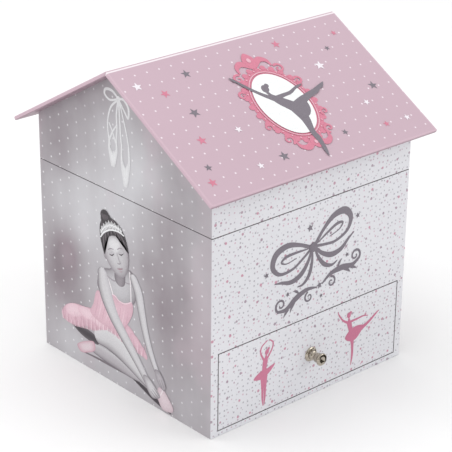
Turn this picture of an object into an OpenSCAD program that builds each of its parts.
// House-shaped musical jewellery box: a hinged roof lid, a drawer, and a dancer that turns on
// a clockwork movement hidden in a platform at the back.
// Units are millimetres. X runs along the drawer front, the front faces -Y, Z is up.
// The origin is the centre of the footprint, on the surface that the box stands on.

/* [Box] */
// Outside width of the walls
box_width = 160; // [156:1:172]
// Outside depth of the walls
box_depth = 160; // [156:1:164]
// Height of the seam between box and lid
lid_line = 128; // [126:1:136]
// Thickness of the wrapped board
board = 2.5; // [2.3:0.1:2.7]
// Width of the seam, and of the gap around the drawer front
seam = 0.5; // [0.4:0.1:0.8]

/* [Roof] */
// Width of the roof, along the ridge
roof_width = 181; // [176:1:190]
// Depth of the roof from eave to eave
roof_depth = 183; // [178:1:188]
// Slope of both roof panels in degrees
roof_pitch = 30; // [28:0.5:31]
// Height of the ridge
ridge_height = 207; // [204:1:216]
// Radius of the corners at the eaves
roof_corner = 2; // [1:0.5:4]

/* [Drawer] */
// Height of the strip of front wall below the drawer
sill = 3.5; // [3.5:0.1:5]
// Width of the window in the front wall
window_width = 149.6; // [140:0.1:150]
// Height of the window in the front wall
window_height = 51; // [48:0.5:51]
// Thickness of the drawer's inner boards
drawer_board = 2; // [1.5:0.1:2.5]
// Height of the knob's centre
knob_height = 28.6; // [24:0.1:34]

/* [Inside] */
// Height of the compartment walls and the ring rolls
tray_height = 27; // [20:1:30]
// Depth of the strip that holds the ring rolls
roll_strip = 48; // [44:1:50]
// Number of ring rolls
roll_count = 4; // [3:1:4]
// Depth of the platform that hides the movement
platform_depth = 52.5; // [52:0.5:54]
// Height of the platform above the deck
platform_height = 35; // [35:0.5:37]

/* [Movement] */
// Teeth on the crown ring of the spring barrel
crown_teeth = 30; // [30:2:32]
// Teeth on the pinion of the pinned cylinder
pinion_teeth = 15; // [15:1:16]
// Teeth on the wheel that drives the governor
drive_teeth = 36; // [34:2:36]
// Teeth on the governor pinion
governor_teeth = 12; // [12:1:13]
// Notes of the comb
notes = 18; // [12:1:18]

/* [Hidden] */
$fn = 64;

// Faces of the box
half_width = box_width / 2;
half_depth = box_depth / 2;
inner_x = half_width - board;
inner_y = half_depth - board;
body_top = lid_line - seam / 2;
lid_bottom = lid_line + seam / 2;

// Levels inside the box
window_top = sill + window_height;
deck_top = window_top + board;
platform_top_z = deck_top + platform_height;
platform_under = platform_top_z - board;
platform_face = inner_y - platform_depth;

// Roof: outer plane, and its underside measured straight down
roof_drop = board / cos(roof_pitch);
slope_length = roof_depth / 2 / cos(roof_pitch);
ceiling_under = ridge_height - roof_drop - inner_y * tan(roof_pitch) - 1.9 - board;

// Mirror under the lid's ceiling
mirror_half_x = inner_x - 18;
mirror_half_y = inner_y - 22;
mirror_thick = 1.6;

// Drawer
drawer_half = window_width / 2 - seam;
drawer_floor = sill + seam;
drawer_side_top = window_top - seam - 4;
drawer_end = inner_y - 0.4;

// Ring rolls
roll_pitch = roll_strip / roll_count;
roll_gap = 0.6;
divider_y = roll_strip - inner_y;
divider_board = 2;

// Gear train: crown ring about Y, pinned cylinder about Z
module_crown = 0.8;
module_drive = 0.6;
crown_radius = crown_teeth * module_crown / 2;
pinion_radius = pinion_teeth * module_crown / 2;
drive_radius = drive_teeth * module_drive / 2;
governor_radius = governor_teeth * module_drive / 2;
addendum = 0.6;
dancer_y = inner_y - 23.5;
crown_tip_y = dancer_y + pinion_radius - addendum;
barrel_face_y = crown_tip_y + 2;
barrel_length = 11;
barrel_radius = crown_radius + 1.5;
arbor_z = deck_top + 16;
running = 0.05;
shaft_radius = 1.5;
arbor_radius = 2;
cylinder_bottom = arbor_z - 7.6;
cylinder_length = 15;
cylinder_radius = 6;
pinion_z = arbor_z - crown_radius;
drive_z = arbor_z + barrel_radius + 0.5;
governor_x = drive_radius + governor_radius;
governor_arbor_radius = 0.8;
fan_arbor_radius = 0.6;
turntable_z = platform_top_z + 1.2;
turntable_top = turntable_z + 2;
bedplate_face = inner_y - 3;
stop_x = 25.2;
stop_pivot_y = inner_y - 11.5;
stop_pivot_z = platform_under - 3.5;
screw_radius = 1.2;
movement_screw_places = [[-32, 5], [-32, 27], [24, 5], [24, 27]];

// Colours
paper_front = [0.90, 0.88, 0.90];
paper_side = [0.75, 0.72, 0.76];
paper_pink = [0.83, 0.70, 0.76];
paper_inside = [0.93, 0.86, 0.89];
steel = [0.72, 0.72, 0.74];
brass_tone = [0.78, 0.64, 0.34];
zinc_tone = [0.62, 0.62, 0.64];
felt_pink = [0.86, 0.62, 0.70];
skin_tone = [0.93, 0.78, 0.68];

// Box between two opposite corners
module block(low, high) translate(low) cube(high - low);

// Places its children with their own Z axis along +Y
module along_y(x, y, z) translate([x, y, z]) rotate([-90, 0, 0]) children();

// Places its children with their own Z axis along +X
module along_x(x, y, z) translate([x, y, z]) rotate([0, 90, 0]) children();

// Extrudes an outline drawn in the Y-Z plane along X, centred on x = 0
module across_x(width) translate([-width / 2, 0, 0]) rotate([90, 0, 90]) linear_extrude(width) children();

// Tapered rod between two points, with a slightly fuller ball at the second
module limb(a, b, ra, rb) {
  d = b - a;
  translate(a) rotate([0, acos(d.z / norm(d)), atan2(d.y, d.x)]) cylinder(h = norm(d), r1 = ra, r2 = rb);
  translate(b) sphere(r = rb * 1.06);
}

// Flat outline of a gear with straight, slim teeth
module gear_outline(teeth, pitch_radius, root_depth, thickness) {
  root = pitch_radius - root_depth;
  tip = pitch_radius + addendum;
  circle(r = root);
  for (k = [0:teeth - 1])
    rotate(k * 360 / teeth)
      polygon([[root - 0.3, -thickness / 2], [tip, -thickness * 0.35], [tip, thickness * 0.35],
        [root - 0.3, thickness / 2]]);
}

// ---- Box ----

module base_board() color(paper_side)
  block([-inner_x, -inner_y, sill - board], [inner_x, inner_y, sill]);

module side_wall(side)
  block([side > 0 ? inner_x : -half_width, -inner_y, 0], [side > 0 ? half_width : -inner_x, inner_y, body_top]);

module left_wall() color(paper_side) side_wall(-1);

module right_wall() color(paper_side) side_wall(1);

module front_wall() color(paper_front) difference() {
  block([-half_width, -half_depth, 0], [half_width, -inner_y, body_top]);
  block([-window_width / 2, -half_depth - 1, sill], [window_width / 2, -inner_y + 1, window_top]);
}

module back_wall() color(paper_side) difference() {
  block([-half_width, inner_y, 0], [half_width, half_depth, body_top]);
  along_y(0, inner_y - 1, arbor_z) cylinder(h = board + 2, r = 5);
  for (p = movement_screw_places)
    along_y(p.x, inner_y - 1, deck_top + p.y) cylinder(h = board + 2, r = screw_radius + running);
}

module drawer_deck() color(paper_inside) difference() {
  block([-inner_x, -inner_y, window_top], [inner_x, inner_y, deck_top]);
  for (side = [-1, 1])
    translate([side * 5.5, dancer_y - 8, deck_top - 2]) cylinder(h = 3, r = screw_radius + running);
}

module drawer_guide(side)
  block([side > 0 ? window_width / 2 : -inner_x, -inner_y, sill],
    [side > 0 ? inner_x : -window_width / 2, inner_y, window_top]);

module drawer_guides() color(paper_inside) for (side = [-1, 1]) drawer_guide(side);

module platform_front() color(paper_inside)
  block([-inner_x, platform_face, deck_top], [inner_x, platform_face + board, platform_under]);

module platform_top() color(paper_inside) difference() {
  block([-inner_x, platform_face, platform_under], [inner_x, inner_y, platform_top_z]);
  translate([0, dancer_y, platform_under - 1]) cylinder(h = board + 2, r = 3.5);
  block([stop_x - 1.2, stop_pivot_y - 1.5, platform_under - 1], [stop_x + 1.2, stop_pivot_y + 2.5, platform_top_z + 1]);
}

module tray_divider_long() color(paper_inside)
  block([-inner_x, divider_y, deck_top], [inner_x, divider_y + divider_board, deck_top + tray_height]);

module tray_divider_cross() color(paper_inside)
  block([-divider_board / 2, divider_y + divider_board, deck_top],
    [divider_board / 2, platform_face, deck_top + tray_height]);

module tray_lining() color(felt_pink) for (side = [-1, 1])
  block([side > 0 ? divider_board / 2 + 0.4 : -inner_x + 0.4, divider_y + divider_board + 0.4, deck_top],
    [side > 0 ? inner_x - 0.4 : -divider_board / 2 - 0.4, platform_face - 0.4, deck_top + 0.8]);

// Soft foam rolls side by side, with a rounded top; rings are pushed in between them
module ring_rolls() color(felt_pink) {
  radius = (roll_pitch - roll_gap) / 2;
  for (i = [0:roll_count - 1])
    across_x(2 * inner_x - 1.2)
      translate([-inner_y + roll_pitch * (i + 0.5), deck_top]) {
        translate([-radius, 0]) square([2 * radius, tray_height - radius]);
        translate([0, tray_height - radius]) circle(r = radius);
      }
}

// Hinge: one leaf glued to the back of the box, the other to the back of the lid
module hinge_leaf(low, high) block([-half_width + 2, half_depth, low], [half_width - 2, half_depth + 0.3, high]);

module hinge_cloth_lower() color(paper_side) hinge_leaf(lid_line - 13, lid_line - 1);

module hinge_cloth_upper() color(paper_side) hinge_leaf(lid_line + 1, lid_line + 13);

// Slack ribbon, folded in a loop against the side wall while the lid is shut
module stay_ribbon(side) {
  width = 0.5;
  x = side * (inner_x - 0.8) - width / 2;
  translate([x, 0, 0]) rotate([90, 0, 90]) linear_extrude(width) difference() {
    union() {
      translate([inner_y - 47, platform_top_z + 12]) circle(r = 8);
      translate([inner_y - 55, platform_top_z + 12]) square([6, lid_line - platform_top_z - 17]);
      translate([inner_y - 45, platform_top_z + 12]) square([6, lid_line - platform_top_z + 1]);
    }
    translate([inner_y - 47, platform_top_z + 12]) circle(r = 2);
    translate([inner_y - 49, platform_top_z + 12]) square([4, 100]);
  }
}

module stay_ribbons() color(felt_pink) for (side = [-1, 1]) stay_ribbon(side);

// ---- Movement, fixed parts ----

module movement_bedplate() color(zinc_tone) difference() {
  union() {
    block([-36, bedplate_face, deck_top + 1.5], [28, inner_y, platform_under - 2]);
    block([-33, dancer_y + 0.4, cylinder_bottom - 0.5], [-21, bedplate_face, cylinder_bottom + cylinder_length + 0.5]);
    along_y(0, bedplate_face - 1.4, arbor_z) cylinder(h = 1.4, r = 5);
  }
  along_y(0, bedplate_face - 2, arbor_z) cylinder(h = 6, r = arbor_radius + running);
  for (p = movement_screw_places)
    along_y(p.x, bedplate_face - 1, deck_top + p.y) cylinder(h = 5, r = screw_radius + running);
  for (dz = [4, 11])
    along_y(-27, dancer_y, cylinder_bottom + dz) cylinder(h = 9, r = screw_radius + running);
}

// Round-headed screw: the head stands on the face at z = 0 and the shank goes down from it
module screw(head_radius, head_height, length) difference() {
  union() {
    cylinder(h = head_height, r1 = head_radius, r2 = head_radius * 0.8);
    translate([0, 0, -length]) cylinder(h = length, r = screw_radius);
  }
  block([-0.3, -head_radius, head_height - 0.5], [0.3, head_radius, head_height + 1]);
}

module movement_long_screws() color(steel) for (p = movement_screw_places)
  along_y(p.x, half_depth, deck_top + p.y) screw(2.6, 1.2, board + 3);

// Steel comb: one tooth per note, reaching towards the cylinder
module comb() color(steel) {
  pitch = cylinder_length / notes;
  tip_x = -cylinder_radius - 1.1;
  translate([0, dancer_y + 0.4, cylinder_bottom]) rotate([90, 0, 0]) linear_extrude(0.8) difference() {
    union() {
      translate([-33, 0]) square([13.5, cylinder_length]);
      for (i = [0:notes - 1])
        translate([-20, (i + 0.5) * pitch - 0.27]) square([tip_x + 20, 0.54]);
    }
    for (dz = [4, 11]) translate([-27, dz]) circle(r = screw_radius + running);
  }
}

// Short screws of the comb and of the lower bearing
module movement_short_screws() color(steel) {
  for (dz = [4, 11])
    translate([-27, dancer_y - 0.4, cylinder_bottom + dz]) rotate([90, 0, 0]) screw(1.9, 0.9, 3.5);
  for (side = [-1, 1])
    translate([side * 5.5, dancer_y - 8, deck_top + 1.6]) screw(1.9, 0.9, 3.5);
}

// Gearbox of the air brake: the worm runs inside it
module governor_housing() color(zinc_tone) difference() {
  union() {
    block([10.5, dancer_y - 7, arbor_z - 10], [23, dancer_y + 5.2, arbor_z + 11]);
    block([17, dancer_y + 5.2, arbor_z - 7], [23, bedplate_face, arbor_z + 7]);
  }
  translate([governor_x, dancer_y, arbor_z - 3]) cylinder(h = 20, r = governor_arbor_radius + running);
  along_x(18, dancer_y - 3, arbor_z - 1) cylinder(h = 10, r = fan_arbor_radius + running);
}

module lower_bearing() color(brass_tone) difference() {
  block([-8, dancer_y - 10, deck_top], [8, dancer_y + 8, deck_top + 1.6]);
  translate([0, dancer_y, deck_top - 1]) cylinder(h = 4, r = screw_radius + running);
  for (side = [-1, 1])
    translate([side * 5.5, dancer_y - 8, deck_top - 1]) cylinder(h = 4, r = screw_radius + running);
}

module spindle_bushing() color(brass_tone) translate([0, dancer_y, platform_under]) difference() {
  union() {
    cylinder(h = board, r = 3.5 - running);
    translate([0, 0, board]) cylinder(h = 0.6, r = 5);
  }
  translate([0, 0, -1]) cylinder(h = board + 3, r = shaft_radius + running);
}

module key_grommet() color(brass_tone) along_y(0, inner_y, arbor_z) difference() {
  union() {
    cylinder(h = board, r = 5 - running);
    translate([0, 0, board]) cylinder(h = 0.5, r = 6.8);
  }
  translate([0, 0, -1]) cylinder(h = board + 3, r = 3.4);
}

// Two ears under the platform that hold the pivot of the stop wire
module stop_bracket() color(steel) difference() {
  union() {
    block([stop_x - 2.2, stop_pivot_y - 2, platform_under - 0.6], [stop_x - 1.2, stop_pivot_y + 3, platform_under]);
    for (x = [stop_x - 2.2, stop_x + 1.4])
      block([x, stop_pivot_y - 2, stop_pivot_z - 1.6], [x + 0.8, stop_pivot_y + 2, platform_under]);
    block([stop_x + 1.4, stop_pivot_y - 2, platform_under - 0.6], [stop_x + 2.2, stop_pivot_y + 3, platform_under]);
  }
  along_x(stop_x - 4, stop_pivot_y, stop_pivot_z) cylinder(h = 8, r = fan_arbor_radius + running);
}

// ---- Lid ----

// Height of the roof's underside above a point at distance y from the ridge
function under_roof(y) = ridge_height - roof_drop - abs(y) * tan(roof_pitch);

module lid_end_wall(side) across_x(box_width)
  polygon([[side * half_depth, lid_bottom], [side * inner_y, lid_bottom], [side * inner_y, under_roof(inner_y)],
    [side * half_depth, under_roof(half_depth)]]);

module lid_front_wall() color(paper_front) lid_end_wall(-1);

module lid_back_wall() color(paper_side) lid_end_wall(1);

module gable(side) translate([side * (half_width - board / 2), 0, 0]) across_x(board)
  polygon([[-inner_y, lid_bottom], [inner_y, lid_bottom], [inner_y, under_roof(inner_y)], [0, under_roof(0)],
    [-inner_y, under_roof(inner_y)]]);

module lid_left_gable() color(paper_side) gable(-1);

module lid_right_gable() color(paper_side) gable(1);

// Roof board, mitred along the ridge, with its two eave corners rounded
module roof_panel() intersection() {
  translate([0, 0, ridge_height]) rotate([roof_pitch, 0, 0]) translate([0, 0, -board])
    linear_extrude(board) {
      translate([-roof_width / 2, -slope_length + roof_corner])
        square([roof_width, slope_length - roof_corner + 10]);
      translate([-roof_width / 2 + roof_corner, -slope_length])
        square([roof_width - 2 * roof_corner, 2 * roof_corner]);
      for (side = [-1, 1])
        translate([side * (roof_width / 2 - roof_corner), -slope_length + roof_corner]) circle(r = roof_corner);
    }
  block([-roof_width, -roof_depth, 0], [roof_width, 0, ridge_height + 10]);
}

module roof_front_panel() color(paper_pink) roof_panel();

module roof_back_panel() color(paper_pink) mirror([0, 1, 0]) roof_panel();

module lid_ceiling() color(paper_inside)
  block([-inner_x, -inner_y, ceiling_under], [inner_x, inner_y, ceiling_under + board]);

module lid_mirror() color([0.85, 0.88, 0.9])
  block([-mirror_half_x, -mirror_half_y, ceiling_under - mirror_thick], [mirror_half_x, mirror_half_y, ceiling_under]);

module mirror_frame() color(paper_pink) difference() {
  block([-mirror_half_x - 8, -mirror_half_y - 8, ceiling_under - 2], [mirror_half_x + 8, mirror_half_y + 8, ceiling_under]);
  block([-mirror_half_x - 0.2, -mirror_half_y - 0.2, ceiling_under - 5], [mirror_half_x + 0.2, mirror_half_y + 0.2, ceiling_under + 1]);
}

// ---- Drawer ----

knob_bore = screw_radius + running;

module drawer_front() color(paper_front) difference() {
  block([-drawer_half, -half_depth, drawer_floor], [drawer_half, -inner_y, window_top - seam]);
  along_y(0, -half_depth - 1, knob_height) cylinder(h = board + 2, r = knob_bore);
}

module drawer_side(side)
  block([side > 0 ? drawer_half - drawer_board : -drawer_half, -inner_y, drawer_floor],
    [side > 0 ? drawer_half : -drawer_half + drawer_board, drawer_end, drawer_side_top]);

module drawer_left_side() color(paper_inside) drawer_side(-1);

module drawer_right_side() color(paper_inside) drawer_side(1);

module drawer_back() color(paper_inside)
  block([-drawer_half + drawer_board, drawer_end - drawer_board, drawer_floor],
    [drawer_half - drawer_board, drawer_end, drawer_side_top]);

module drawer_bottom() color(paper_inside)
  block([-drawer_half + drawer_board, -inner_y, drawer_floor],
    [drawer_half - drawer_board, drawer_end - drawer_board, drawer_floor + drawer_board]);

module drawer_lining() color(felt_pink)
  block([-drawer_half + drawer_board + 0.4, -inner_y + 0.4, drawer_floor + drawer_board],
    [drawer_half - drawer_board - 0.4, drawer_end - drawer_board - 0.4, drawer_floor + drawer_board + 0.6]);

// Places its children with their own Z axis along -Y, starting at the drawer's face
module on_drawer_face() translate([0, -half_depth, knob_height]) rotate([90, 0, 0]) children();

rosette_radius = 4.8;
rosette_height = 1.7;
knob_length = 9.4;
head_radius = 4;
waist_radius = 2.2;

// Domed disc behind the knob
module knob_rosette() color(steel) on_drawer_face() rotate_extrude() {
  intersection() {
    scale([1, rosette_height / rosette_radius]) circle(r = rosette_radius);
    translate([knob_bore, 0]) square([rosette_radius, rosette_height - 0.25]);
  }
}

// Turned knob: foot, waist and a round head with a dished face
module knob() color(steel) on_drawer_face() translate([0, 0, rosette_height - 0.25]) difference() {
  rotate_extrude() difference() {
    union() {
      square([2.7, 0.8]);
      square([waist_radius, knob_length - 2]);
      polygon([[0, knob_length - 4.6], [waist_radius, knob_length - 4.6], [head_radius - 0.6, knob_length - 2.4],
        [head_radius - 0.6, knob_length - 0.6], [0, knob_length - 0.6]]);
      translate([head_radius - 0.9, knob_length - 1.5]) circle(r = 0.9);
      square([head_radius - 0.9, knob_length - 0.6]);
    }
    translate([-10, -1]) square([10, 20]);
    translate([waist_radius + 1.55, 2.9]) circle(r = 1.6);
  }
  translate([0, 0, knob_length + 6.9]) sphere(r = 7.8);
  translate([0, 0, -1]) cylinder(h = 6.5, r = knob_bore);
}

module knob_washer() color(steel) along_y(0, -inner_y, knob_height) difference() {
  cylinder(h = 0.5, r = 3.6);
  translate([0, 0, -1]) cylinder(h = 3, r = knob_bore);
}

module knob_screw() color(steel) along_y(0, -inner_y + 0.5, knob_height) screw(2.8, 1.5, board + 6.2);

// ---- Movement, turning parts ----

module spring_barrel() color(brass_tone) along_y(0, barrel_face_y, arbor_z) {
  difference() {
    cylinder(h = barrel_length, r = barrel_radius);
    translate([0, 0, 1.2]) cylinder(h = barrel_length, r = barrel_radius - 0.8);
    translate([0, 0, -1]) cylinder(h = 4, r = arbor_radius + running);
  }
  // Crown teeth stand on the front face; a gap points straight down, where the pinion meshes
  for (k = [0:crown_teeth - 1])
    rotate(90 + (k + 0.5) * 360 / crown_teeth)
      block([crown_radius - 1.2, -0.35, -2], [crown_radius + 1.2, 0.35, 0.2]);
}

module barrel_cover() color(brass_tone) along_y(0, barrel_face_y + barrel_length - 1.2, arbor_z) difference() {
  cylinder(h = 1.2, r = barrel_radius - 0.8 - running);
  translate([0, 0, -1]) cylinder(h = 4, r = arbor_radius + running);
}

// Flat steel spiral inside the barrel
spring_inner = 3.4;
spring_outer = barrel_radius - 1.4;
spring_turns = 6;
spring_steps = 144;
function spiral(i, offset) = let (t = i / spring_steps, r = spring_inner + (spring_outer - spring_inner) * t + offset)
  [r * cos(360 * spring_turns * t), r * sin(360 * spring_turns * t)];

module mainspring() color(steel) along_y(0, barrel_face_y + 1.8, arbor_z) linear_extrude(barrel_length - 3.8)
  polygon(concat([for (i = [0:spring_steps]) spiral(i, 0)], [for (i = [spring_steps:-1:0]) spiral(i, 0.5)]));

module winding_arbor() color(steel) along_y(0, barrel_face_y + 0.3, arbor_z) {
  cylinder(h = half_depth + 7 - barrel_face_y, r = arbor_radius);
  translate([0, 0, 1.2]) cylinder(h = barrel_length - 3.2, r = arbor_radius + 0.8);
}

key_reach = roof_depth / 2 - 0.4 - half_depth;

// Butterfly key on the outside of the back wall
module winding_key() color(brass_tone) along_y(0, half_depth, arbor_z) difference() {
  union() {
    translate([0, 0, 1]) cylinder(h = key_reach - 1, r = 3.2);
    rotate([90, 0, 0]) translate([0, 0, -0.7]) linear_extrude(1.4) difference() {
      for (side = [-1, 1]) hull() {
        translate([side * 8, key_reach - 4.4]) circle(r = 4.4);
        translate([side * 1, key_reach - 4.4]) square([2, 5], center = true);
      }
      for (side = [-1, 1]) translate([side * 8, key_reach - 4.4]) circle(r = 2);
    }
  }
  translate([0, 0, -1]) cylinder(h = 8.5, r = arbor_radius + running);
}

module cylinder_shaft() color(steel) translate([0, dancer_y, 0]) {
  translate([0, 0, deck_top + 0.3]) cylinder(h = 2, r = screw_radius);
  translate([0, 0, deck_top + 2]) cylinder(h = turntable_top - deck_top - 2, r = shaft_radius);
}

module cylinder_pinion() color(brass_tone) translate([0, dancer_y, pinion_z - 0.6]) difference() {
  rotate(90) linear_extrude(1.2) gear_outline(pinion_teeth, pinion_radius, 1.1, 0.7);
  translate([0, 0, -1]) cylinder(h = 4, r = shaft_radius + running);
}

// Brass cylinder with its pins in rings, one ring for each note of the comb
pin_count = 54;

module pinned_cylinder() color(brass_tone) translate([0, dancer_y, cylinder_bottom]) difference() {
  union() {
    cylinder(h = cylinder_length, r = cylinder_radius);
    for (i = [0:pin_count - 1])
      rotate([0, 0, (i * 137) % 360]) translate([0, 0, ((i * 7) % notes + 0.5) * cylinder_length / notes])
        rotate([0, 90, 0]) cylinder(h = cylinder_radius + 0.7, r = 0.2, $fn = 8);
  }
  translate([0, 0, -1]) cylinder(h = cylinder_length + 2, r = shaft_radius + running);
}

module drive_wheel() color(brass_tone) translate([0, dancer_y, drive_z]) difference() {
  linear_extrude(1.2) difference() {
    gear_outline(drive_teeth, drive_radius, 0.9, 0.55);
    for (a = [45:90:315]) rotate(a) translate([drive_radius * 0.6, 0]) circle(r = drive_radius * 0.24);
  }
  translate([0, 0, -1]) cylinder(h = 4, r = shaft_radius + running);
}

module turntable() color(paper_pink) translate([0, dancer_y, turntable_z]) difference() {
  rotate_extrude() {
    square([17, 2]);
    translate([17, 1]) circle(r = 1);
  }
  translate([0, 0, -1]) cylinder(h = 4, r = shaft_radius + running);
}

// Dancer on the point of one foot, the other foot drawn up to the knee, arms rounded overhead
figure_foot = turntable_top;
figure_parts_fn = 32;

module ballerina_figure() color(skin_tone) translate([0, dancer_y, figure_foot]) {
  $fn = figure_parts_fn;
  hip = 22;
  shoulder = 33.6;
  // Moulded stand and standing leg
  cylinder(h = 0.8, r = 3);
  limb([0, 0, 0.5], [0, 0, 5.5], 0.7, 1);
  limb([0, 0, 5.5], [0, 0, 13], 1, 1.5);
  limb([0, 0, 13], [0.9, 0, hip], 1.5, 2.2);
  // Raised leg
  limb([-1, 0, hip - 0.5], [-8.2, -2.2, 16.8], 2, 1.4);
  limb([-8.2, -2.2, 16.8], [-2.4, -1.2, 11.6], 1.4, 0.8);
  // Hips, waist, chest and neck
  translate([0, 0, hip]) scale([1.15, 0.95, 1]) sphere(r = 2.7);
  limb([0, 0, hip], [0, 0, hip + 5], 2.5, 1.8);
  limb([0, 0, hip + 5], [0, 0, hip + 10], 1.8, 2.5);
  limb([-2.4, 0, shoulder], [2.4, 0, shoulder], 1.2, 1.2);
  translate([-2.4, 0, shoulder]) sphere(r = 1.27);
  cylinder(h = shoulder + 3.5, r = 0.9);
  // Head, with the hair drawn up in a bun
  translate([0, 0, shoulder + 5.6]) scale([0.85, 0.95, 1.12]) sphere(r = 2.7);
  translate([0, 1.6, shoulder + 8.2]) sphere(r = 1.4);
  // Arms
  for (side = [-1, 1]) {
    limb([side * 3, 0, shoulder + 0.3], [side * 6.6, -0.6, shoulder + 6.8], 0.9, 0.75);
    limb([side * 6.6, -0.6, shoulder + 6.8], [side * 1.6, -1.2, shoulder + 14.4], 0.75, 0.55);
  }
}

// Flat gathered skirt around the dancer's waist
module tutu() color([0.95, 0.75, 0.83]) translate([0, dancer_y, figure_foot + 24.6]) rotate_extrude()
  polygon([[3.1, 0], [14.5, 1.2], [14.5, 2.4], [3.1, 2]]);

module governor_pinion() color(brass_tone) translate([governor_x, dancer_y, 0]) {
  translate([0, 0, drive_z - 0.2]) rotate(180 / governor_teeth * (1 + governor_teeth % 2))
    linear_extrude(1.6) gear_outline(governor_teeth, governor_radius, 0.9, 0.55);
  translate([0, 0, arbor_z - 2.6]) cylinder(h = drive_z - arbor_z + 3, r = governor_arbor_radius);
}

module governor_fan() color(steel) along_x(18.4, dancer_y - 3, arbor_z - 1) {
  cylinder(h = 8.4, r = fan_arbor_radius);
  translate([0, 0, 5.6]) cylinder(h = 2.4, r = 1.4);
  block([-7, -0.25, 5.8], [7, 0.25, 7.8]);
}

// Flat strip of one width through a list of points, with slightly fuller round joints
module strip(points, width) {
  for (i = [1:len(points) - 1]) {
    a = points[i - 1];
    d = points[i] - a;
    translate(a) rotate(atan2(d.y, d.x)) translate([0, -width / 2]) square([norm(d), width]);
    translate(a) circle(d = width + 0.3);
    translate(points[i]) circle(d = width + 0.3);
  }
}

// Stamped lever that the lid holds forward while it is shut; its lower finger stops the fan
module stop_lever() color(steel) {
  translate([stop_x, 0, 0]) across_x(0.8)
    strip([[stop_pivot_y - 9.5, stop_pivot_z - 8], [stop_pivot_y - 3, stop_pivot_z - 1],
      [stop_pivot_y, stop_pivot_z], [stop_pivot_y, lid_line + 3], [inner_y - 1.1, lid_line + 6]], 1.4);
  along_x(stop_x - 2.4, stop_pivot_y, stop_pivot_z) cylinder(h = 4.8, r = fan_arbor_radius);
}

base_board();
left_wall();
right_wall();
front_wall();
back_wall();
drawer_deck();
drawer_guides();
platform_front();
platform_top();
tray_divider_long();
tray_divider_cross();
tray_lining();
ring_rolls();
hinge_cloth_lower();
stay_ribbons();
movement_bedplate();
movement_long_screws();
comb();
movement_short_screws();
governor_housing();
lower_bearing();
spindle_bushing();
key_grommet();
stop_bracket();
lid_front_wall();
lid_back_wall();
lid_left_gable();
lid_right_gable();
roof_front_panel();
roof_back_panel();
lid_ceiling();
lid_mirror();
mirror_frame();
hinge_cloth_upper();
drawer_front();
drawer_left_side();
drawer_right_side();
drawer_back();
drawer_bottom();
drawer_lining();
knob_rosette();
knob();
knob_washer();
knob_screw();
spring_barrel();
barrel_cover();
mainspring();
winding_arbor();
winding_key();
cylinder_shaft();
cylinder_pinion();
pinned_cylinder();
drive_wheel();
turntable();
ballerina_figure();
tutu();
governor_pinion();
governor_fan();
stop_lever();
